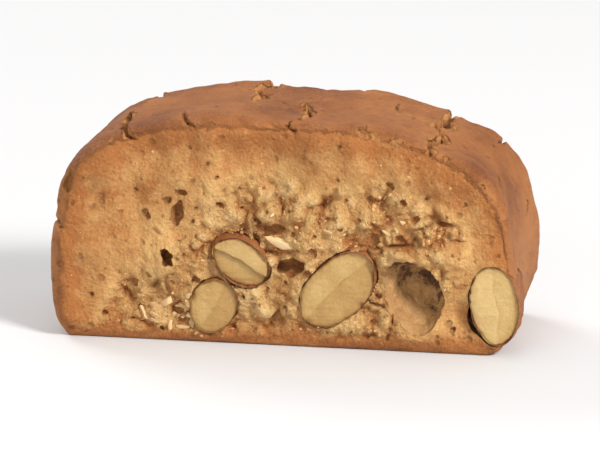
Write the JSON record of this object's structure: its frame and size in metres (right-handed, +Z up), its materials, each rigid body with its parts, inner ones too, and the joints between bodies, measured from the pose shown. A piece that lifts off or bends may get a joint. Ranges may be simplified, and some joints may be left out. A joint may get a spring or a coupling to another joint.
{
  "type": "almond biscuit",
  "caption": "Twice-baked almond biscuit: a thick slice of a flat almond loaf, with almonds and an almond's print in its cut faces and a cracked brown crust.",
  "frame": {"origin": "middle of the underside's level, at the bottom centre of the biscuit's box", "axes": "+X along the slice, towards the end that shows an almond in its crust; +Y from the front cut to the back cut, through the slice's thickness; +Z up from the flat underside to the domed crust"},
  "size_m": [0.0525, 0.021, 0.0259],
  "materials": {
    "baked_dough": "dry baked dough: brown, faintly glossy crust on the dome, ends and underside, and a rough sandy cream-gold crumb on both cuts",
    "almond": "cut almond: smooth pale cream flesh with a faint seam between its halves, and a thin dark brown skin round it"
  },
  "bodies": {
    "root": {"biscuit": "baked_dough", "almond_front_end": "almond", "almond_front_middle": "almond", "almond_front_left": "almond", "almond_front_low": "almond", "almond_back_long": "almond", "almond_back_round": "almond", "almond_back_tip": "almond"}
  },
  "joints": []
}
